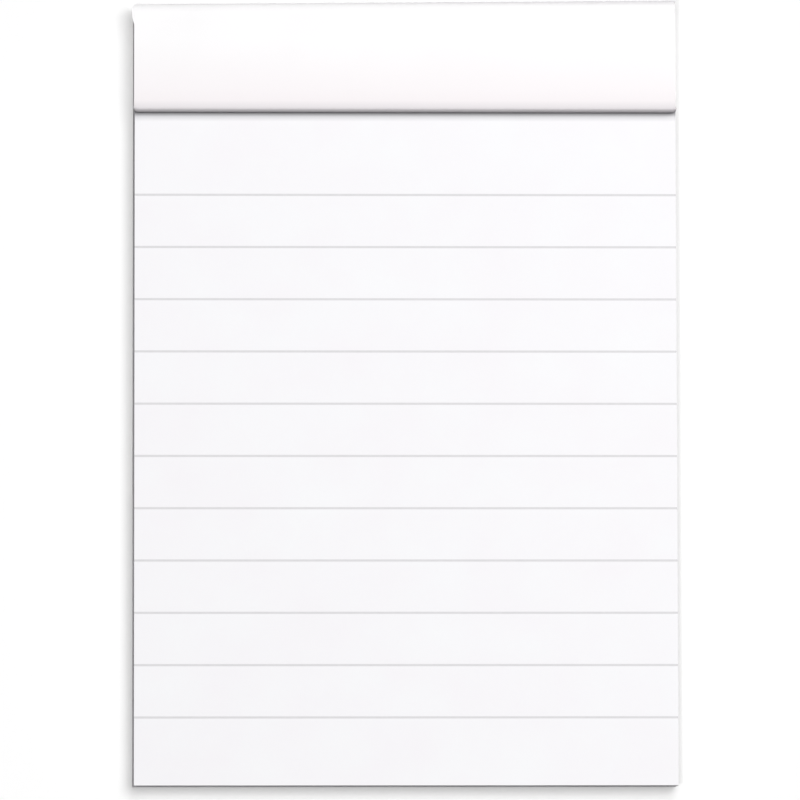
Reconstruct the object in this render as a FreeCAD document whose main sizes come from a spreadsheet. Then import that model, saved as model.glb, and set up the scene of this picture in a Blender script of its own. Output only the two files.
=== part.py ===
import FreeCAD, Part
import math
import os
import sys
import Sketcher

# A small head-stapled legal pad lying on its back. Its card cover is folded open over the head,
# so a band of card crosses the front and the loose leaf lies underneath.
# X runs to the right of the page, Y towards the head and Z up out of the page.
# The origin is the middle of the pad's outline, on the surface that it lies on.

document = FreeCAD.newDocument("legal_pad")
sizes = document.addObject("Spreadsheet::Sheet", "Sizes")

# Driving dimensions in millimetres, each with what it measures
DIMENSIONS = [
    ("sheet_width", 74.0, "one A7 sheet from side to side"),
    ("sheet_height", 105.0, "one A7 sheet from foot to head"),
    ("sheet_count", 80, "sheets in the block"),
    ("sheet_thickness", 0.1, "one sheet of writing paper"),
    ("board_thickness", 0.7, "greyboard behind the last sheet"),
    ("card_thickness", 0.35, "coated card of the cover"),
    ("band_height", 14.9, "card band on the front, from the head to its fold"),
    ("fold_spring", 0.2, "staple crowns to the leaf that springs up off them"),
    ("head_clearance", 0.25, "sheets to the card round the head, and the inside of its scored corners"),
    ("head_slack", 0.65, "room between the fixed card and the leaf where both turn round the head"),
    ("leaf_turn_radius", 1.0, "inside of the leaf's looser turns round the head"),
    ("staple_spacing", 38.0, "middle of one staple to the middle of the other"),
    ("staple_setback", 6.5, "head of the sheets to the middle of the staples"),
    ("crown_width", 12.0, "one staple over both legs"),
    ("wire_width", 0.7, "flat staple wire across its broad side"),
    ("wire_thickness", 0.5, "flat staple wire through its thin side"),
    ("wire_bend_radius", 0.1, "inside of a bend in the wire"),
    ("clinch_length", 3.6, "bent end of a leg, from the outside of the leg"),
    ("clinch_clearance", 0.05, "clinched ends to the leaf underneath"),
    ("leg_clearance", 0.05, "wire to the side of the hole that it pierces"),
    ("tear_line_setback", 0.8, "fold to the tear line hidden behind it"),
    ("slit_length", 1.1, "one slit of the tear line"),
    ("slit_width", 0.15, "the same slit across"),
    ("slit_pitch", 1.6, "one slit to the next"),
]

for row, (alias, number, meaning) in enumerate(DIMENSIONS, start=1):
    sizes.set(f"A{row}", alias)
    sizes.set(f"B{row}", str(number))
    sizes.set(f"C{row}", meaning)
    sizes.setAlias(f"B{row}", alias)
document.recompute()

# Levels of the stack above the surface. A level of card is the middle of its thickness.
CARD = "Sizes.card_thickness"
WIRE = "Sizes.wire_thickness"
GAP_UNDER = f"({WIRE} + Sizes.clinch_clearance)"
GAP_IN_FOLD = f"({WIRE} + Sizes.fold_spring)"
LEAF_UNDER = f"({CARD} / 2)"
BACK_PANEL = f"({LEAF_UNDER} + {CARD} + {GAP_UNDER})"
BOARD_BOTTOM = f"({BACK_PANEL} + {CARD} / 2)"
BLOCK_BOTTOM = f"({BOARD_BOTTOM} + Sizes.board_thickness)"
BLOCK_THICKNESS = "(Sizes.sheet_count * Sizes.sheet_thickness)"
BAND = f"({BLOCK_BOTTOM} + {BLOCK_THICKNESS} + {CARD} / 2)"
LEAF_OVER = f"({BAND} + {CARD} + {GAP_IN_FOLD})"

# Cuts for the staples and the tear line run from the one gap to the other, and spare the leaf.
CUT_TOP = f"({LEAF_OVER} - {CARD} / 2 - {GAP_IN_FOLD} / 2)"
CUT_BOTTOM = f"({LEAF_UNDER} + {CARD} / 2 + {GAP_UNDER} / 2)"
CUT_MIDDLE = f"(({CUT_TOP} + {CUT_BOTTOM}) / 2)"

# Places along the page, measured from its foot
SPINE = f"(Sizes.sheet_height + Sizes.head_clearance + {CARD} / 2)"
LEAF_SPINE = f"({SPINE} + {CARD} + Sizes.head_slack)"
PAD_HEIGHT = f"({LEAF_SPINE} + {CARD} / 2)"
FOLD_EDGE = f"({PAD_HEIGHT} - Sizes.band_height)"
STAPLE_PLACE = "(Sizes.sheet_height - Sizes.staple_setback)"
TEAR_PLACE = f"({FOLD_EDGE} + Sizes.tear_line_setback)"

# Radii of the card's middle line at its scored corners, at its fold and where the leaf turns
CORNER_RADIUS = f"(Sizes.head_clearance + {CARD} / 2)"
FOLD_RADIUS = f"(({LEAF_OVER} - {BAND}) / 2)"
FOLD_PLACE = f"({FOLD_EDGE} + {CARD} / 2 + {FOLD_RADIUS})"
TURN_RADIUS = f"(Sizes.leaf_turn_radius + {CARD} / 2)"
TURN_PLACE = f"({LEAF_SPINE} - {TURN_RADIUS})"

# Closed, the leaf reaches from the fold to the foot, and that length fixes where it ends here.
CARD_IN_FOLD = f"(pi / 2 * {FOLD_RADIUS})"
CARD_OVER_BAND = f"({TURN_PLACE} - {FOLD_PLACE})"
CARD_ROUND_HEAD = f"((pi - 2) * {TURN_RADIUS} + {LEAF_OVER} - {LEAF_UNDER})"
CARD_UNDERNEATH = f"({FOLD_EDGE} - {CARD_IN_FOLD} - {CARD_OVER_BAND} - {CARD_ROUND_HEAD})"
LEAF_END = f"({TURN_PLACE} - {CARD_UNDERNEATH})"

# The staple's wire, measured from the staple's middle, and the holes that its legs pierce
WIRE_RADIUS = f"(Sizes.wire_bend_radius + {WIRE} / 2)"
CROWN = f"({BAND} + {CARD} / 2 + {WIRE} / 2)"
CLINCH = f"({BACK_PANEL} - {CARD} / 2 - {WIRE} / 2)"
LEG = f"(Sizes.crown_width / 2 - {WIRE} / 2)"
CLINCH_END = "(Sizes.crown_width / 2 - Sizes.clinch_length)"
HOLE_ACROSS = f"({WIRE} + 2 * Sizes.wire_bend_radius + 2 * Sizes.leg_clearance)"
HOLE_ALONG = "(Sizes.wire_width + 2 * Sizes.leg_clearance)"

SLIT_COUNT = "floor(Sizes.sheet_width / Sizes.slit_pitch)"
ORIGIN_POINT = (-1, 1)
START, END, CENTRE = 1, 2, 3


def number_of(expression):
    """Return what an expression of the named sizes comes to."""
    return float(sizes.evalExpression(expression))


def origin_feature(body, role):
    """Find one of the piece's own planes or axes."""
    return next(item for item in body.Origin.OriginFeatures if item.Role == role)


def start_piece(label, across="0", along="0"):
    """Start a piece of the pad, with its own origin at a place on the line of the foot."""
    body = document.addObject("PartDesign::Body", label)
    body.Label = label
    body.setExpression("Placement.Base.x", across)
    body.setExpression("Placement.Base.y", f"{along} - {PAD_HEIGHT} / 2")
    return body


def start_sketch(body, name, plane, offset="0"):
    """Lay a sketch on one of the piece's own planes, moved along the plane's normal."""
    sketch = body.newObject("Sketcher::SketchObject", name)
    sketch.AttachmentSupport = [(origin_feature(body, plane), "")]
    sketch.MapMode = "FlatFace"
    sketch.setExpression("AttachmentOffset.Base.z", offset)
    return sketch


def measure(sketch, name, kind, first, second, expression):
    """Dimension a sketch between two points, or an arc alone, and tie it to the named sizes."""
    index = sketch.addConstraint(Sketcher.Constraint(kind, *first, *second, number_of(expression)))
    sketch.renameConstraint(index, name)
    sketch.setExpression(f"Constraints.{name}", expression)


def draw_rectangle(sketch, name, left, low, width, height):
    """Draw a rectangle from the place of its lower left corner."""
    corner = FreeCAD.Vector(number_of(left), number_of(low))
    across = FreeCAD.Vector(number_of(width), 0)
    up = FreeCAD.Vector(0, number_of(height))
    corners = [corner, corner + across, corner + across + up, corner + up]
    first = sketch.GeometryCount
    for index in range(4):
        sketch.addGeometry(Part.LineSegment(corners[index], corners[(index + 1) % 4]))
    for index in range(4):
        following = first + (index + 1) % 4
        sketch.addConstraint(Sketcher.Constraint("Coincident", first + index, END, following, START))
        direction = "Vertical" if index % 2 else "Horizontal"
        sketch.addConstraint(Sketcher.Constraint(direction, first + index))
    measure(sketch, f"{name}_left", "DistanceX", ORIGIN_POINT, (first, START), left)
    measure(sketch, f"{name}_low", "DistanceY", ORIGIN_POINT, (first, START), low)
    measure(sketch, f"{name}_width", "DistanceX", (first, START), (first, END), width)
    measure(sketch, f"{name}_height", "DistanceY", (first + 1, START), (first + 1, END), height)


def meeting(run, next_run, size):
    """Return where two runs meet: their corner twice over, or the two ends of a fold."""
    (_, way, level), (_, next_way, next_level) = run, next_run
    level, next_level = number_of(level), number_of(next_level)
    if way == next_way:
        place = number_of(size)
        return FreeCAD.Vector(place, level), FreeCAD.Vector(place, next_level)
    across, up = (next_level, level) if way == "across" else (level, next_level)
    return FreeCAD.Vector(across, up), FreeCAD.Vector(across, up)


def draw_turn(sketch, way_in, knot_in, knot_out, way_out, size):
    """Draw the arc of one turn.

    Return where the route enters and leaves it, and the numbers of the arc's ends in that order.
    """
    folded = knot_in != knot_out
    radius = (knot_out - knot_in).Length / 2 if folded else number_of(size)
    entry = knot_in if folded else knot_in - way_in * radius
    leaving = knot_out if folded else knot_out + way_out * radius
    centre = (knot_in + knot_out) / 2 if folded else entry + way_out * radius
    turns_left = way_in.cross(centre - entry).z > 0
    low, high = (entry, leaving) if turns_left else (leaving, entry)
    angles = [math.atan2(point.y - centre.y, point.x - centre.x) for point in (low, high)]
    circle = Part.Circle(centre, FreeCAD.Vector(0, 0, 1), radius)
    sketch.addGeometry(Part.ArcOfCircle(circle, *angles))
    return entry, leaving, (START, END) if turns_left else (END, START)


def draw_route(sketch, start, runs, turns, end):
    """Draw the middle line of a folded strip: straight runs joined by tangent arcs.

    A run has its name, the way it lies and its distance from the origin. A turn has its name and
    its radius. A turn between two parallel runs is a fold, and has the place of its centre instead.
    """
    first_point = FreeCAD.Vector(number_of(start), number_of(runs[0][2]))
    last_point = FreeCAD.Vector(number_of(end), number_of(runs[-1][2]))
    knots = [meeting(run, next_run, size) for run, next_run, (_, size) in zip(runs, runs[1:], turns)]
    knots = [(first_point, first_point), *knots, (last_point, last_point)]
    ways = [(after[0] - before[1]).normalize() for before, after in zip(knots, knots[1:])]

    arcs = [
        draw_turn(sketch, ways[index], *knots[index + 1], ways[index + 1], size)
        for index, (_, size) in enumerate(turns)
    ]
    run_starts = [first_point, *(leaving for _, leaving, _ in arcs)]
    run_ends = [*(entry for entry, _, _ in arcs), last_point]
    lines = [sketch.addGeometry(Part.LineSegment(*ends)) for ends in zip(run_starts, run_ends)]

    for line, (name, way, level) in zip(lines, runs):
        sketch.addConstraint(Sketcher.Constraint("Horizontal" if way == "across" else "Vertical", line))
        kind = "DistanceY" if way == "across" else "DistanceX"
        measure(sketch, name, kind, ORIGIN_POINT, (line, START), level)
    for arc, ((name, size), (_, _, (entry_end, leaving_end))) in enumerate(zip(turns, arcs)):
        sketch.addConstraint(Sketcher.Constraint("Tangent", lines[arc], END, arc, entry_end))
        sketch.addConstraint(Sketcher.Constraint("Tangent", arc, leaving_end, lines[arc + 1], START))
        if runs[arc][1] == runs[arc + 1][1]:
            measure(sketch, name, "DistanceX", ORIGIN_POINT, (arc, CENTRE), size)
        else:
            measure(sketch, name, "Radius", (arc,), (), size)
    measure(sketch, "start", "DistanceX", ORIGIN_POINT, (lines[0], START), start)
    measure(sketch, "end", "DistanceX", ORIGIN_POINT, (lines[-1], END), end)


def sweep_strip(body, profile, route):
    """Carry the strip's section along its route."""
    strip = body.newObject("PartDesign::AdditivePipe", "strip")
    strip.Profile = profile
    strip.Spine = (route, [])
    body.Tip = strip
    document.recompute()


def repeat_across(body, cut, name, pitch, count):
    """Repeat a cut to the right."""
    row = body.newObject("PartDesign::LinearPattern", name)
    row.Originals = [cut]
    row.Direction = (origin_feature(body, "X_Axis"), [""])
    row.Mode = "Spacing"
    row.setExpression("Offset", pitch)
    row.setExpression("Occurrences", count)
    body.Tip = row
    document.recompute()


def cut_through_stack(body, sketch, name):
    """Cut from the gap inside the fold down to the gap under the back panel."""
    cut = body.newObject("PartDesign::Pocket", name)
    cut.Profile = sketch
    cut.SideType = "Symmetric"
    cut.setExpression("Length", f"{CUT_TOP} - {CUT_BOTTOM}")
    body.Tip = cut
    document.recompute()
    return cut


def pierce_for_staples(body):
    """Pierce the holes of both staples' legs, so that the folded leaf stays whole."""
    sketch = start_sketch(body, "leg_holes", "XY_Plane", CUT_MIDDLE)
    low = f"{STAPLE_PLACE} - {HOLE_ALONG} / 2"
    for name, side in (("left_leg", "-"), ("right_leg", "+")):
        left = f"-Sizes.staple_spacing / 2 {side} {LEG} - {HOLE_ACROSS} / 2"
        draw_rectangle(sketch, name, left, low, HOLE_ACROSS, HOLE_ALONG)
    cut = cut_through_stack(body, sketch, "pierced_legs")
    repeat_across(body, cut, "pierced_staples", "Sizes.staple_spacing", "2")


def make_layer(label, bottom, thickness):
    """Make a flat layer of the stack that is trimmed to the size of the sheets."""
    body = start_piece(label)
    outline = start_sketch(body, "outline", "XY_Plane", bottom)
    draw_rectangle(outline, "sheet", "-Sizes.sheet_width / 2", "0", "Sizes.sheet_width", "Sizes.sheet_height")
    layer = body.newObject("PartDesign::Pad", "layer")
    layer.Profile = outline
    layer.setExpression("Length", thickness)
    document.recompute()
    pierce_for_staples(body)
    return body


def make_cover():
    """Make the card cover: back panel, spine, band, fold, and the leaf back round the head."""
    body = start_piece("cover")
    route = start_sketch(body, "route", "YZ_Plane")
    draw_route(
        route,
        start="0",
        runs=[
            ("back_panel", "across", BACK_PANEL),
            ("spine", "up", SPINE),
            ("band", "across", BAND),
            ("leaf_over_band", "across", LEAF_OVER),
            ("leaf_spine", "up", LEAF_SPINE),
            ("leaf_underneath", "across", LEAF_UNDER),
        ],
        turns=[
            ("lower_score", CORNER_RADIUS),
            ("upper_score", CORNER_RADIUS),
            ("fold", FOLD_PLACE),
            ("upper_turn", TURN_RADIUS),
            ("lower_turn", TURN_RADIUS),
        ],
        end=LEAF_END,
    )
    section = start_sketch(body, "section", "XZ_Plane")
    low = f"{BACK_PANEL} - {CARD} / 2"
    draw_rectangle(section, "card", "-Sizes.sheet_width / 2", low, "Sizes.sheet_width", CARD)
    sweep_strip(body, section, route)
    pierce_for_staples(body)
    return body


def make_sheet_block():
    """Make the block of ruled sheets, with the tear line that the fold hides."""
    body = make_layer("sheet_block", BLOCK_BOTTOM, BLOCK_THICKNESS)
    sketch = start_sketch(body, "slit", "XY_Plane", CUT_MIDDLE)
    left = f"-({SLIT_COUNT} - 1) / 2 * Sizes.slit_pitch - Sizes.slit_length / 2"
    low = f"{TEAR_PLACE} - Sizes.slit_width / 2"
    draw_rectangle(sketch, "slit", left, low, "Sizes.slit_length", "Sizes.slit_width")
    cut = cut_through_stack(body, sketch, "first_slit")
    repeat_across(body, cut, "tear_line", "Sizes.slit_pitch", SLIT_COUNT)
    return body


def make_staple(label, across):
    """Make a staple: clinched end, leg, crown, leg, clinched end."""
    body = start_piece(label, across, STAPLE_PLACE)
    route = start_sketch(body, "route", "XZ_Plane")
    draw_route(
        route,
        start=f"-{CLINCH_END}",
        runs=[
            ("left_clinch", "across", CLINCH),
            ("left_leg", "up", f"-{LEG}"),
            ("crown", "across", CROWN),
            ("right_leg", "up", LEG),
            ("right_clinch", "across", CLINCH),
        ],
        turns=[
            ("left_foot", WIRE_RADIUS),
            ("left_shoulder", WIRE_RADIUS),
            ("right_shoulder", WIRE_RADIUS),
            ("right_foot", WIRE_RADIUS),
        ],
        end=CLINCH_END,
    )
    section = start_sketch(body, "section", "YZ_Plane", f"-{CLINCH_END}")
    draw_rectangle(section, "wire", "-Sizes.wire_width / 2", f"{CLINCH} - {WIRE} / 2", "Sizes.wire_width", WIRE)
    sweep_strip(body, section, route)
    return body


def check_pieces(pieces):
    """Stop before anything is written if a feature failed or a piece isn't one sound solid."""
    for item in document.Objects:
        if "Invalid" in item.State or "Error" in item.State:
            sys.exit(f"{item.Label} failed: {item.State}")
    for body in pieces:
        if body.Shape.isNull() or not body.Shape.isValid() or len(body.Shape.Solids) != 1:
            sys.exit(f"{body.Label} isn't one valid solid")


pad_pieces = [
    make_cover(),
    make_sheet_block(),
    make_layer("backing_board", BOARD_BOTTOM, "Sizes.board_thickness"),
    make_staple("staple_left", "-Sizes.staple_spacing / 2"),
    make_staple("staple_right", "Sizes.staple_spacing / 2"),
]
document.recompute()
check_pieces(pad_pieces)

os.makedirs("parts", exist_ok=True)
for piece in pad_pieces:
    piece.Shape.exportStep(f"parts/{piece.Label}.step")
    box = piece.Shape.BoundBox
    print(f"{piece.Label}: {box.XLength:.2f} x {box.YLength:.2f} x {box.ZLength:.2f} mm")
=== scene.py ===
import math
import random

import bpy
from mathutils import Matrix, Vector


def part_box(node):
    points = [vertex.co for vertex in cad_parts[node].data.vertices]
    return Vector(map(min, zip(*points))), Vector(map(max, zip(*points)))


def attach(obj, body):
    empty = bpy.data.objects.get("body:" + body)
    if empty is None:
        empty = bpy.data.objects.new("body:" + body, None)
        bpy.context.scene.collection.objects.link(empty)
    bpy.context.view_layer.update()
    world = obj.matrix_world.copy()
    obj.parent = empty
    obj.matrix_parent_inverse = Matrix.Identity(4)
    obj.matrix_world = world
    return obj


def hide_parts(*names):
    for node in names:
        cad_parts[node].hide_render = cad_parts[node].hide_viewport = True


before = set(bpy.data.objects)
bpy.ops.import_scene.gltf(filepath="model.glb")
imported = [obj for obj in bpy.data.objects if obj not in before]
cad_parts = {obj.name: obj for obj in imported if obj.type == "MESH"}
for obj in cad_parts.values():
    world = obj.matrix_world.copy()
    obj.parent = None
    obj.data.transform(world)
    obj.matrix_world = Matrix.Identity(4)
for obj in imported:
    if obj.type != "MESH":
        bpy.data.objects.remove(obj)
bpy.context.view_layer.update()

# The backing board is die-cut from raw greyboard, which is pressed from waste paper.
# It stiffens the pad behind the last sheet, is trimmed with the sheets, and is pierced by the
# legs of both staples.
MM = 0.001
board_low, board_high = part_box("backing_board")
sheets_low, sheets_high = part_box("sheet_block")
staple_low, staple_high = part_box("staple_left")
CUT_EDGE_ROUNDING = 0.06 * MM
LEG_HOLE = 0.8 * MM
LEG_INSET = 0.25 * MM
CUTTER_RAISE = 0.1 * MM
TRIM_TAPER = 0.24 * MM
TRIM_TRUE_AT = -7 * MM
BOARD_FIBRE = 0.6 * MM
BOARD_RELIEF = 0.05 * MM


def deselect():
    """Leave nothing selected, in the scene."""
    bpy.ops.object.select_all(action="DESELECT")


def finish_shape(piece, name):
    """Name a piece and put its place and size into its mesh."""
    deselect()
    piece.name = name
    piece.data.name = name
    piece.select_set(True)
    bpy.context.view_layer.objects.active = piece
    bpy.ops.object.transform_apply(location=True, rotation=True, scale=True)
    return piece


def add_block(name, low, high):
    """Add a block between two corners."""
    deselect()
    bpy.ops.mesh.primitive_cube_add(size=1, location=(low + high) / 2)
    bpy.context.object.scale = high - low
    return finish_shape(bpy.context.object, name)


def apply_modifier(piece, kind, **settings):
    """Shape a piece with a modifier and keep the result as its mesh."""
    deselect()
    piece.select_set(True)
    bpy.context.view_layer.objects.active = piece
    modifier = piece.modifiers.new(kind.lower(), kind)
    for name, value in settings.items():
        setattr(modifier, name, value)
    bpy.ops.object.modifier_apply(modifier=modifier.name)


def join_pieces(pieces, name):
    """Join several pieces into one mesh."""
    deselect()
    for piece in pieces:
        piece.select_set(True)
    bpy.context.view_layer.objects.active = pieces[0]
    bpy.ops.object.join()
    return finish_shape(pieces[0], name)


def trim_out_of_square(piece):
    """Narrow a piece a little towards the head, as the guillotine left the whole pad."""
    for vertex in piece.data.vertices:
        from_true = (vertex.co.y - TRIM_TRUE_AT) / (sheets_high.y - sheets_low.y)
        vertex.co.x *= 1 - from_true * TRIM_TAPER / sheets_high.x


def linear(colour):
    """Turn an sRGB colour in hex into a linear one."""
    shares = [int(colour[start:start + 2], 16) / 255 for start in (1, 3, 5)]
    return (*(s / 12.92 if s <= 0.04045 else ((s + 0.055) / 1.055) ** 2.4 for s in shares), 1)


def start_material(name):
    """Start a material from one Principled shader, and return it with that shader's node."""
    material = bpy.data.materials.new(name)
    material.use_nodes = True
    return material, material.node_tree.nodes["Principled BSDF"]


def add_node(material, kind, settings, links):
    """Add a node. Settings are sockets or properties by name or number, links are outputs."""
    node = material.node_tree.nodes.new(kind)
    for name, value in settings.items():
        if isinstance(name, int) or name in node.inputs:
            node.inputs[name].default_value = value
        else:
            setattr(node, name, value)
    for name, output in links.items():
        material.node_tree.links.new(output, node.inputs[name])
    return node


def link(material, output, socket):
    """Link an output to a socket of the shader."""
    material.node_tree.links.new(output, socket)


leg_places = [
    side * (staple_high.x + staple_low.x) / 2 + end * ((staple_high.x - staple_low.x) / 2 - LEG_INSET)
    for side in (-1, 1)
    for end in (-1, 1)
]
staple_line = (staple_low.y + staple_high.y) / 2
hole_half = Vector((LEG_HOLE, LEG_HOLE, 0)) / 2
leg_cutter = join_pieces(
    [
        add_block(
            "leg_cutter",
            Vector((leg_place, staple_line, staple_low.z + CUTTER_RAISE)) - hole_half,
            Vector((leg_place, staple_line, staple_high.z + CUTTER_RAISE)) + hole_half,
        )
        for leg_place in leg_places
    ],
    "leg_cutter",
)

board = add_block("board", board_low, board_high)
apply_modifier(board, "BEVEL", width=CUT_EDGE_ROUNDING, segments=2)
apply_modifier(board, "BOOLEAN", operation="DIFFERENCE", object=leg_cutter, solver="EXACT")
trim_out_of_square(board)

# Greyboard, pressed: matt, speckled with darker and paler fibres about half a millimetre long
greyboard, shader = start_material("pressed_greyboard")
shader.inputs["Roughness"].default_value = 0.9
shader.inputs["IOR"].default_value = 1.45
coordinates = add_node(greyboard, "ShaderNodeTexCoord", {}, {})
fibres = add_node(
    greyboard, "ShaderNodeTexNoise",
    {"Scale": 1 / BOARD_FIBRE, "Detail": 4, "Roughness": 0.7},
    {"Vector": coordinates.outputs["Object"]},
)
flecks = add_node(
    greyboard, "ShaderNodeMapRange",
    {"From Min": 0.35, "From Max": 0.68},
    {"Value": fibres.outputs["Fac"]},
)
colour = add_node(
    greyboard, "ShaderNodeMix",
    {"data_type": "RGBA", 6: linear("#8F8A80"), 7: linear("#B4AFA6")},
    {0: flecks.outputs["Result"]},
)
link(greyboard, colour.outputs[2], shader.inputs["Base Color"])
bump = add_node(
    greyboard, "ShaderNodeBump",
    {"Strength": 0.4, "Distance": BOARD_RELIEF},
    {"Height": fibres.outputs["Fac"]},
)
link(greyboard, bump.outputs["Normal"], shader.inputs["Normal"])
board.data.materials.append(greyboard)
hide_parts("backing_board")
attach(board, "root")

# The block is 80 sheets of white writing paper, ruled on a press, gathered and trimmed flush.
# A row of fine slits across each sheet, hidden under the fold of the cover, lets it tear off.
SHEET_COUNT = 80
SHEET_GAP = 0.02 * MM
TRIM_ERROR = 0.02 * MM
FIRST_RULE_ABOVE_FOOT = 9.24 * MM
RULE_PITCH = 7.125 * MM
RULE_COUNT = 11
RULE_WIDTH = 0.3 * MM
BAND_HEIGHT = 14.9 * MM
TEAR_LINE_SETBACK = 0.8 * MM
SLIT = Vector((1.1, 0.15, 0)) * MM
SLIT_PITCH = 1.6 * MM
SLIT_CUT_DEPTH = 1.0 * MM
TRIM_SEED = 7
HAIR = 0.01 * MM
UPRIGHT = 0.5
PAPER_CLOUD = 9 * MM
PAPER_GRAIN = 0.25 * MM
PAPER_RELIEF = 0.01 * MM
# Reaches of the painted shade on the page beside the fold of the cover
FAINT_SHADE_FROM = 1.2 * MM
FAINT_SHADE_TO = 0.35 * MM
DARK_SHADE_FROM = 0.5 * MM
INK_PATCH = 0.8 * MM
EDGE_STREAK = 0.35 * MM
EDGE_STREAKS_ALONG = 60
cover_low, cover_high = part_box("cover")
fold_edge = cover_high.y - BAND_HEIGHT
sheet_pitch = (sheets_high.z - sheets_low.z) / SHEET_COUNT
sheet_width = sheets_high.x - sheets_low.x


def copy_piece(piece, move):
    """Copy a piece with a mesh of its own, and move the copy's mesh."""
    copy = piece.copy()
    copy.data = piece.data.copy()
    bpy.context.scene.collection.objects.link(copy)
    copy.location = move
    return finish_shape(copy, piece.name)


sheet = add_block(
    "sheet",
    Vector((sheets_low.x, sheets_low.y, sheets_high.z - sheet_pitch + SHEET_GAP)),
    sheets_high,
)
slit_count = math.floor(sheet_width / SLIT_PITCH)
first_slit = Vector((-(slit_count - 1) / 2 * SLIT_PITCH, fold_edge + TEAR_LINE_SETBACK, sheets_high.z))
slit_depth = Vector((0, 0, SLIT_CUT_DEPTH))
slit_cutter = add_block(
    "slit_cutter",
    first_slit - SLIT / 2 - slit_depth,
    first_slit + SLIT / 2 + slit_depth,
)
apply_modifier(
    slit_cutter, "ARRAY", count=slit_count,
    use_relative_offset=False, use_constant_offset=True, constant_offset_displace=(SLIT_PITCH, 0, 0),
)
apply_modifier(sheet, "BOOLEAN", operation="DIFFERENCE", object=slit_cutter, solver="EXACT")
apply_modifier(sheet, "BOOLEAN", operation="DIFFERENCE", object=leg_cutter, solver="EXACT")

trim = random.Random(TRIM_SEED)
lower_sheets = [
    copy_piece(
        sheet,
        Vector((
            trim.uniform(-TRIM_ERROR, TRIM_ERROR),
            trim.uniform(-TRIM_ERROR, 0),
            -number * sheet_pitch,
        )),
    )
    for number in range(1, SHEET_COUNT)
]
rule_lines = [sheets_low.y + FIRST_RULE_ABOVE_FOOT + number * RULE_PITCH for number in range(RULE_COUNT)]
deselect()
sheet.select_set(True)
bpy.context.view_layer.objects.active = sheet
bpy.ops.object.mode_set(mode="EDIT")
for rule_line in rule_lines:
    for side in (-1, 1):
        bpy.ops.mesh.select_all(action="SELECT")
        bpy.ops.mesh.bisect(plane_co=(0, rule_line + side * RULE_WIDTH / 2, 0), plane_no=(0, 1, 0))
bpy.ops.object.mode_set(mode="OBJECT")

# Writing paper, smooth and uncoated: matt and slightly cool, with a faint cloudy formation, and
# painted shade along the fold of the cover, where the fold's shadow falls. Its fibres are drawn coarser
# than they are.
paper, shader = start_material("smooth_writing_paper")
shader.inputs["Roughness"].default_value = 0.8
shader.inputs["IOR"].default_value = 1.45
coordinates = add_node(paper, "ShaderNodeTexCoord", {}, {})
clouds = add_node(
    paper, "ShaderNodeTexNoise",
    {"Scale": 1 / PAPER_CLOUD, "Detail": 4, "Roughness": 0.55},
    {"Vector": coordinates.outputs["Object"]},
)
formation = add_node(
    paper, "ShaderNodeMapRange",
    {"From Min": 0.3, "From Max": 0.7},
    {"Value": clouds.outputs["Fac"]},
)
colour = add_node(
    paper, "ShaderNodeMix",
    {"data_type": "RGBA", 6: linear("#FBF9FC"), 7: linear("#FCFCFE")},
    {0: formation.outputs["Result"]},
)
position = add_node(paper, "ShaderNodeSeparateXYZ", {}, {"Vector": coordinates.outputs["Object"]})
on_page = add_node(
    paper, "ShaderNodeMath", {"operation": "GREATER_THAN", 1: sheets_high.z - HAIR},
    {0: position.outputs["Z"]},
)
# Painted shade on the top page beside the fold of the cover, where the fold's shadow falls: a faint wide
# band, and a darker narrow one next to the fold
page_shades = (
    (FAINT_SHADE_FROM, FAINT_SHADE_TO, "#E0DFE2"),
    (DARK_SHADE_FROM, 0, "#9F9EA1"),
)
for outer, inner, painted_shade in page_shades:
    towards_fold = add_node(
        paper, "ShaderNodeMapRange",
        {"From Min": fold_edge - outer, "From Max": fold_edge - inner},
        {"Value": position.outputs["Y"]},
    )
    share = add_node(
        paper, "ShaderNodeMath", {"operation": "MULTIPLY"},
        {0: towards_fold.outputs["Result"], 1: on_page.outputs[0]},
    )
    colour = add_node(
        paper, "ShaderNodeMix",
        {"data_type": "RGBA", 7: linear(painted_shade)},
        {0: share.outputs[0], 6: colour.outputs[2]},
    )
link(paper, colour.outputs[2], shader.inputs["Base Color"])
grain = add_node(
    paper, "ShaderNodeTexNoise",
    {"Scale": 1 / PAPER_GRAIN, "Detail": 2},
    {"Vector": coordinates.outputs["Object"]},
)
bump = add_node(
    paper, "ShaderNodeBump",
    {"Strength": 0.15, "Distance": PAPER_RELIEF},
    {"Height": grain.outputs["Fac"]},
)
link(paper, bump.outputs["Normal"], shader.inputs["Normal"])

# Ruling ink, offset printed: a thin pale grey film that sinks into the paper and stays matt
ink, shader = start_material("ruling_ink")
shader.inputs["Roughness"].default_value = 0.7
shader.inputs["IOR"].default_value = 1.5
coordinates = add_node(ink, "ShaderNodeTexCoord", {}, {})
inking = add_node(
    ink, "ShaderNodeTexNoise",
    {"Scale": 1 / INK_PATCH, "Detail": 3},
    {"Vector": coordinates.outputs["Object"]},
)
colour = add_node(
    ink, "ShaderNodeMix",
    {"data_type": "RGBA", 6: linear("#DAD9DB"), 7: linear("#E2E1E3")},
    {0: inking.outputs["Fac"]},
)
link(ink, colour.outputs[2], shader.inputs["Base Color"])

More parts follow.
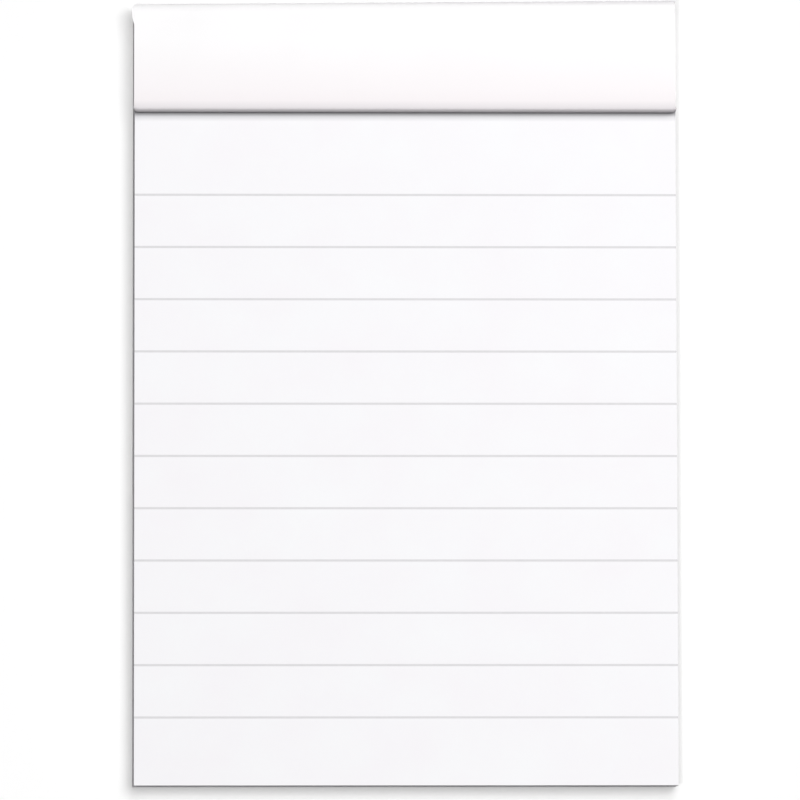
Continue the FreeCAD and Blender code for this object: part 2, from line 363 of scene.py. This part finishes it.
# Cut paper edges, guillotined: rougher and greyer, for the shade that is held between the sheets
cut_edges, shader = start_material("guillotined_edges")
shader.inputs["Roughness"].default_value = 0.95
shader.inputs["IOR"].default_value = 1.4
coordinates = add_node(cut_edges, "ShaderNodeTexCoord", {}, {})
layers = add_node(
    cut_edges, "ShaderNodeMapping",
    {"Scale": (EDGE_STREAKS_ALONG, EDGE_STREAKS_ALONG, 1 / EDGE_STREAK)},
    {"Vector": coordinates.outputs["Object"]},
)
streaks = add_node(
    cut_edges, "ShaderNodeTexNoise", {"Scale": 1.0, "Detail": 2},
    {"Vector": layers.outputs["Vector"]},
)
colour = add_node(
    cut_edges, "ShaderNodeMix",
    {"data_type": "RGBA", 6: linear("#AEADB0"), 7: linear("#D6D5D8")},
    {0: streaks.outputs["Fac"]},
)
link(cut_edges, colour.outputs[2], shader.inputs["Base Color"])

sheets = join_pieces([sheet, *lower_sheets], "sheets")
trim_out_of_square(sheets)
for material in (paper, ink, cut_edges):
    sheets.data.materials.append(material)
ink_slot = sheets.data.materials.find(ink.name)
edge_slot = sheets.data.materials.find(cut_edges.name)
for face in sheets.data.polygons:
    on_rule = any(abs(face.center.y - rule_line) < RULE_WIDTH / 2 for rule_line in rule_lines)
    if abs(face.normal.z) < UPRIGHT:
        face.material_index = edge_slot
    elif on_rule and face.normal.z > UPRIGHT:
        face.material_index = ink_slot
bpy.data.objects.remove(slit_cutter)
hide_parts("sheet_block")
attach(sheets, "root")

# The cover is one sheet of white card. It runs up from the back round the head to the front,
# where both staples hold it, and its front leaf is folded back over the staples and the head,
# and lies underneath. It is scored, wrapped, stapled, trimmed, and then folded open by hand.
CARD = 0.35 * MM
HEAD_CLEARANCE = 0.25 * MM
LEAF_TURN_RADIUS = 1.0 * MM
CARD_STRIPS = 40
PANEL_STEPS = 24
SCORE_STEPS = 6
TURN_STEPS = 10
SPINE_STEPS = 2
HEAD_STEPS = 4
END_STRIPS = (0.05 * MM, 0.12 * MM, 0.25 * MM, 0.45 * MM, 0.7 * MM)
SMOOTH_BELOW = 40
HEAD_LOOSENESS = 0.2 * MM
HEAD_SKEW = 0.3 * MM
HEAD_TURN_REACH = 4 * MM
LEAF_ASKEW = 0.13 * MM
CORNER_FLARE = 0.3 * MM
FLARE_REACH = 2.5 * MM
FLARE_START = 1.4 * MM
FLARE_FULL = 0.2 * MM
FOLD_END_ROUNDING = 0.45 * MM
FOLD_DIP = 0.12 * MM
FOLD_DIP_REACH = 2.6 * MM
# Reaches of the darker pink tint towards the fold, of the painted shade on the band by the fold and under
# the fold's crown, and of the painted shade at the turn over the head
DARKER_PINK_FROM = 10 * MM
DARKER_PINK_TO = 1.5 * MM
FOLD_SHADE_FROM = 1.6 * MM
FOLD_SHADE_TO = 0.3 * MM
CREASE_SHADE_FROM = 0.66 * MM
CREASE_SHADE_TO = -0.1 * MM
CREASE_SHADE_BEHIND = 0.45 * MM
HEAD_SHADE = 0.3 * MM
CARD_CLOUD = 12 * MM
CARD_FIBRE = 0.3 * MM
back_panel = board_low.z - CARD / 2
band = sheets_high.z + CARD / 2
leaf_over = cover_high.z - CARD / 2
leaf_under = cover_low.z + CARD / 2
score_radius = HEAD_CLEARANCE + CARD / 2
fold_radius = (leaf_over - band) / 2
fold_place = fold_edge + CARD / 2 + fold_radius
turn_radius = LEAF_TURN_RADIUS + CARD / 2
turn_place = cover_high.y - CARD / 2 - turn_radius
closed_leaf = fold_edge - sheets_low.y
round_fold = math.pi / 2 * fold_radius
over_band = turn_place - fold_place
around_head = (math.pi - 2) * turn_radius + leaf_over - leaf_under
leaf_end = turn_place - (closed_leaf - round_fold - over_band - around_head)


def lay(steps, along, up):
    """Carry the chosen edge of the card on in a straight run."""
    for _ in range(steps):
        bpy.ops.mesh.extrude_edges_move(TRANSFORM_OT_translate={"value": (0, along / steps, up / steps)})


def turn(steps, degrees, along, up):
    """Carry the chosen edge of the card round a turn."""
    bpy.ops.mesh.spin(steps=steps, angle=math.radians(degrees), center=(0, along, up), axis=(-1, 0, 0))


deselect()
bpy.ops.mesh.primitive_grid_add(
    x_subdivisions=CARD_STRIPS, y_subdivisions=PANEL_STEPS, size=1,
    location=(0, (sheets_low.y + sheets_high.y) / 2, back_panel),
)
card = bpy.context.object
card.scale = (sheet_width, sheets_high.y - sheets_low.y, 1)
finish_shape(card, "card")
for part in (*card.data.vertices, *card.data.polygons):
    part.select = False
for edge in card.data.edges:
    edge.select = all(card.data.vertices[v].co.y > sheets_high.y - HAIR for v in edge.vertices)
bpy.ops.object.mode_set(mode="EDIT")
bpy.ops.mesh.select_mode(type="EDGE")
turn(SCORE_STEPS, 90, sheets_high.y, back_panel + score_radius)
lay(SPINE_STEPS, 0, band - back_panel - 2 * score_radius)
turn(SCORE_STEPS, 90, sheets_high.y, band - score_radius)
lay(PANEL_STEPS, fold_place - sheets_high.y, 0)
turn(2 * TURN_STEPS, -180, fold_place, band + fold_radius)
lay(PANEL_STEPS, turn_place - fold_place, 0)
turn(TURN_STEPS, -90, turn_place, leaf_over - turn_radius)
lay(HEAD_STEPS, 0, leaf_under - leaf_over + 2 * turn_radius)
turn(TURN_STEPS, -90, turn_place, leaf_under + turn_radius)
lay(PANEL_STEPS, leaf_end - turn_place, 0)
bpy.ops.mesh.select_all(action="SELECT")
bpy.ops.mesh.normals_make_consistent(inside=False)
for inset in END_STRIPS:
    for side in (-1, 1):
        bpy.ops.mesh.select_all(action="SELECT")
        bpy.ops.mesh.bisect(plane_co=(side * (sheet_width / 2 - inset), 0, 0), plane_no=(1, 0, 0))
bpy.ops.object.mode_set(mode="OBJECT")


def ease(value, start, end):
    """Rise gently from 0 at the start to 1 at the end."""
    share = min(max((value - start) / (end - start), 0), 1)
    return share * share * (3 - 2 * share)


# The folded card as it really lies: rubbed round at the ends of its fold, dipping to the fold,
# folded back a little askew, looser round the head on the right, and flared at that turn's left end
for vertex in card.data.vertices:
    spot = vertex.co
    on_leaf = (
        spot.z > leaf_over - CARD
        or spot.z < back_panel - CARD
        or spot.y > sheets_high.y + 2 * CARD
    )
    above_band = ease(spot.z, band, leaf_over)
    at_fold = 1 - ease(spot.y, fold_edge, fold_edge + 3 * FOLD_END_ROUNDING)
    near_fold = 1 - ease(spot.y, fold_edge, fold_edge + FOLD_DIP_REACH)
    at_head = on_leaf * ease(spot.y, cover_high.y - HEAD_TURN_REACH, cover_high.y - CARD)
    at_left_end = ease(-spot.x, sheet_width / 2 - FLARE_REACH, sheet_width / 2)
    over_head = ease(spot.y, sheets_high.y - FLARE_START, sheets_high.y - FLARE_FULL)
    from_end = min(sheet_width / 2 - abs(spot.x), FOLD_END_ROUNDING)
    inward = FOLD_END_ROUNDING - from_end
    rounding = FOLD_END_ROUNDING - math.sqrt(FOLD_END_ROUNDING ** 2 - inward ** 2)
    spot.z -= FOLD_DIP * above_band * near_fold
    spot.y += rounding * at_fold
    spot.y += (HEAD_LOOSENESS + HEAD_SKEW * 2 * spot.x / sheet_width) * at_head
    spot.x -= (LEAF_ASKEW + CORNER_FLARE * at_left_end * over_head) * above_band
trim_out_of_square(card)

# Coated card, machine finished: white and satin, with a faint unevenness. It is a touch pinker and darker
# towards the fold, with painted shade at its fold and, faintly, painted shade at its turn over the head
coated_card, shader = start_material("satin_coated_card")
shader.inputs["Roughness"].default_value = 0.55
shader.inputs["IOR"].default_value = 1.5
coordinates = add_node(coated_card, "ShaderNodeTexCoord", {}, {})
clouds = add_node(
    coated_card, "ShaderNodeTexNoise",
    {"Scale": 1 / CARD_CLOUD, "Detail": 3},
    {"Vector": coordinates.outputs["Object"]},
)
tone = add_node(
    coated_card, "ShaderNodeMapRange",
    {"From Min": 0.3, "From Max": 0.7},
    {"Value": clouds.outputs["Fac"]},
)
colour = add_node(
    coated_card, "ShaderNodeMix",
    {"data_type": "RGBA", 6: linear("#F8F7F8"), 7: linear("#FBFAFB")},
    {0: tone.outputs["Result"]},
)
position = add_node(coated_card, "ShaderNodeSeparateXYZ", {}, {"Vector": coordinates.outputs["Object"]})
on_top = add_node(
    coated_card, "ShaderNodeMath", {"operation": "GREATER_THAN", 1: band - CARD},
    {0: position.outputs["Z"]},
)
# Painted shade at the turn over the head, a darker pink tint towards the fold, and painted shade on the
# band just before the fold
shades_and_tint = (
    (cover_high.y - HEAD_SHADE, cover_high.y + HEAD_LOOSENESS, "#EDEBED"),
    (fold_edge + DARKER_PINK_FROM, fold_edge + DARKER_PINK_TO, "#F4EFF1"),
    (fold_edge + FOLD_SHADE_FROM, fold_edge + FOLD_SHADE_TO, "#DEDADD"),
)
for start, end, shade_and_tint in shades_and_tint:
    towards = add_node(
        coated_card, "ShaderNodeMapRange",
        {"From Min": start, "From Max": end},
        {"Value": position.outputs["Y"]},
    )
    share = add_node(
        coated_card, "ShaderNodeMath", {"operation": "MULTIPLY"},
        {0: towards.outputs["Result"], 1: on_top.outputs[0]},
    )
    colour = add_node(
        coated_card, "ShaderNodeMix",
        {"data_type": "RGBA", 7: linear(shade_and_tint)},
        {0: share.outputs[0], 6: colour.outputs[2]},
    )
# Painted shade on the fold below its crown: a dark line where the crease lies in shadow
on_fold = add_node(
    coated_card, "ShaderNodeMath", {"operation": "LESS_THAN", 1: fold_edge + CREASE_SHADE_BEHIND},
    {0: position.outputs["Y"]},
)
below_crown = add_node(
    coated_card, "ShaderNodeMapRange",
    {"From Min": band + fold_radius + CREASE_SHADE_FROM, "From Max": band + fold_radius + CREASE_SHADE_TO},
    {"Value": position.outputs["Z"]},
)
painted_shade = add_node(
    coated_card, "ShaderNodeMath", {"operation": "MULTIPLY"},
    {0: below_crown.outputs["Result"], 1: on_fold.outputs[0]},
)
colour = add_node(
    coated_card, "ShaderNodeMix",
    {"data_type": "RGBA", 7: linear("#48464A")},
    {0: painted_shade.outputs[0], 6: colour.outputs[2]},
)
link(coated_card, colour.outputs[2], shader.inputs["Base Color"])
card.data.materials.append(coated_card)

# The card's raw cut edge, uncoated: matt, and greyer than its faces
cut_card, shader = start_material("cut_card_edge")
shader.inputs["Roughness"].default_value = 0.9
shader.inputs["IOR"].default_value = 1.45
coordinates = add_node(cut_card, "ShaderNodeTexCoord", {}, {})
fibres = add_node(
    cut_card, "ShaderNodeTexNoise",
    {"Scale": 1 / CARD_FIBRE, "Detail": 3},
    {"Vector": coordinates.outputs["Object"]},
)
colour = add_node(
    cut_card, "ShaderNodeMix",
    {"data_type": "RGBA", 6: linear("#C9C6C4"), 7: linear("#E2DFDD")},
    {0: fibres.outputs["Fac"]},
)
link(cut_card, colour.outputs[2], shader.inputs["Base Color"])
card.data.materials.append(cut_card)

apply_modifier(
    card, "SOLIDIFY",
    thickness=CARD, offset=0, use_even_offset=True, material_offset_rim=1,
)
apply_modifier(card, "BOOLEAN", operation="DIFFERENCE", object=leg_cutter, solver="EXACT")
deselect()
card.select_set(True)
bpy.context.view_layer.objects.active = card
bpy.ops.object.shade_smooth_by_angle(angle=math.radians(SMOOTH_BELOW))
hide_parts("cover")
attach(card, "root")

# Two staples of flat galvanised wire hold the pad together at the head. They are bent to shape,
# driven through, and their ends are clinched flat against the back of the cover.
DRAWN_MARK = 0.4 * MM

# Galvanised wire, drawn and rolled flat: a soft metal shine, with faintly duller marks
galvanised, shader = start_material("galvanised_wire")
shader.inputs["Metallic"].default_value = 1
shader.inputs["Roughness"].default_value = 0.32
coordinates = add_node(galvanised, "ShaderNodeTexCoord", {}, {})
drawn = add_node(
    galvanised, "ShaderNodeTexNoise",
    {"Scale": 1 / DRAWN_MARK, "Detail": 2},
    {"Vector": coordinates.outputs["Object"]},
)
colour = add_node(
    galvanised, "ShaderNodeMix",
    {"data_type": "RGBA", 6: linear("#B5B6B8"), 7: linear("#CDCED0")},
    {0: drawn.outputs["Fac"]},
)
link(galvanised, colour.outputs[2], shader.inputs["Base Color"])
staples = [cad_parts[name] for name in ("staple_left", "staple_right")]
for wire in staples:
    wire.data.materials.clear()
    wire.data.materials.append(galvanised)
bpy.data.objects.remove(leg_cutter)

# The pad lies on a plain white table top. For the eye alone it shines a little, so that it stays
# white while it keeps the pad's shadow. It is clear from below, so that the pad's back shows.
TABLE_SIDE = 1400 * MM
TABLE_LIFT = 0.22


def seen_by_eye(material):
    """Give 1 for the rays that show a surface, straight or through gloss or glass, and else 0."""
    rays = add_node(material, "ShaderNodeLightPath", {}, {})
    seen = rays.outputs["Is Camera Ray"]
    for kind in ("Is Glossy Ray", "Is Transmission Ray"):
        either = add_node(
            material, "ShaderNodeMath", {"operation": "ADD"},
            {0: seen, 1: rays.outputs[kind]},
        )
        seen = either.outputs[0]
    return seen


deselect()
bpy.ops.mesh.primitive_plane_add(size=TABLE_SIDE, location=(0, 0, 0))
table_top = finish_shape(bpy.context.object, "table_top")

# White paint, rolled on: matt, and with no mark of its own
table_white = bpy.data.materials.new("white_table")
table_white.use_nodes = True
table_white.node_tree.nodes.clear()
lift = add_node(
    table_white, "ShaderNodeMath", {"operation": "MULTIPLY", 1: TABLE_LIFT},
    {0: seen_by_eye(table_white)},
)
paint = add_node(table_white, "ShaderNodeBsdfDiffuse", {"Color": linear("#FAFAFA")}, {})
glow = add_node(table_white, "ShaderNodeEmission", {}, {"Strength": lift.outputs[0]})
both = add_node(table_white, "ShaderNodeAddShader", {}, {0: paint.outputs[0], 1: glow.outputs[0]})
clear = add_node(table_white, "ShaderNodeBsdfTransparent", {}, {})
face_side = add_node(table_white, "ShaderNodeNewGeometry", {}, {})
one_sided = add_node(
    table_white, "ShaderNodeMixShader", {},
    {0: face_side.outputs["Backfacing"], 1: both.outputs[0], 2: clear.outputs[0]},
)
add_node(table_white, "ShaderNodeOutputMaterial", {}, {"Surface": one_sided.outputs[0]})
table_top.data.materials.append(table_white)

# Two soft boxes light the pad in a white room: a key nearly overhead, and one from beyond the head
# that shapes the fold. A small one lights the table alone, for the fine shadow on the pad's right.
KEY_SHARE = 0.57
HEAD_SHARE = 0.39
TABLE_SHARE = 0.2
ROOM_SHARE = 0.065
KEY_DISTANCE = 1.6
HEAD_DISTANCE = 1.1
target = Vector((0, 0, sheets_high.z))


def add_soft_box(name, share, distance, right, toward_head, half_width):
    """Add a soft box that gives a share of the light, placed and sized by angles in degrees."""
    lean = Vector((math.tan(math.radians(right)), math.tan(math.radians(toward_head)), 1)).normalized()
    lamp = bpy.data.lights.new(name, "AREA")
    lamp.shape = "SQUARE"
    lamp.size = 2 * distance * math.tan(math.radians(half_width))
    lamp.energy = share * math.pi ** 2 * distance ** 2 / lean.z
    soft_box = bpy.data.objects.new(name, lamp)
    bpy.context.scene.collection.objects.link(soft_box)
    soft_box.location = target + lean * distance
    soft_box.rotation_euler = lean.to_track_quat("Z", "Y").to_euler()
    return soft_box


def light_only(lamp, name, pieces):
    """Let a lamp light only the pieces that are given."""
    lit = bpy.data.collections.new(name)
    for piece in pieces:
        lit.objects.link(piece)
    lamp.light_linking.receiver_collection = lit


add_soft_box("key_box", KEY_SHARE, KEY_DISTANCE, right=3.0, toward_head=3.9, half_width=7.6)
head_box = add_soft_box("head_box", HEAD_SHARE, HEAD_DISTANCE, right=36, toward_head=30, half_width=16)
table_box = add_soft_box(
    "table_box", TABLE_SHARE, KEY_DISTANCE,
    right=-5.2, toward_head=-5.8, half_width=1.6,
)
light_only(head_box, "lit_by_head_box", (board, sheets, card, *staples))
light_only(table_box, "lit_by_table_box", (table_top,))
room = bpy.data.worlds.new("white_room")
bpy.context.scene.world = room
room.use_nodes = True
room.node_tree.nodes.clear()
strength = add_node(
    room, "ShaderNodeMapRange", {"To Min": ROOM_SHARE, "To Max": 1.0},
    {"Value": seen_by_eye(room)},
)
air = add_node(
    room, "ShaderNodeBackground", {"Color": linear("#FFFFFF")}, {"Strength": strength.outputs[0]},
)
add_node(room, "ShaderNodeOutputWorld", {}, {"Surface": air.outputs[0]})

# The camera looks down on the pad through a long lens, from a little to the left and the foot, and
# frames a square of the page's level a little larger than the pad. Its angles are in degrees.
FRAME_SIDE = 109.0 * MM
CAMERA_DISTANCE = 2.2
SENSOR = 36.0
LEAN_LEFT = 2.4
LEAN_TO_FOOT = 2.9
ROLL = 0.1
AIM = Vector((-0.795, -0.8, 0)) * MM
lens = bpy.data.cameras.new("long_lens")
lens.sensor_width = SENSOR
lens.lens = SENSOR * CAMERA_DISTANCE / FRAME_SIDE
lens.clip_end = 2 * CAMERA_DISTANCE
camera = bpy.data.objects.new("long_lens", lens)
bpy.context.scene.collection.objects.link(camera)
back = Vector((-math.tan(math.radians(LEAN_LEFT)), -math.tan(math.radians(LEAN_TO_FOOT)), 1)).normalized()
camera.location = target + AIM + back * CAMERA_DISTANCE
right = Vector((0, 1, 0)).cross(back).normalized()
facing = Matrix((right, back.cross(right), back)).transposed()
camera.rotation_euler = (facing @ Matrix.Rotation(math.radians(-ROLL), 3, "Z")).to_euler()
bpy.context.scene.camera = camera
bpy.context.scene.view_settings.view_transform = "Standard"
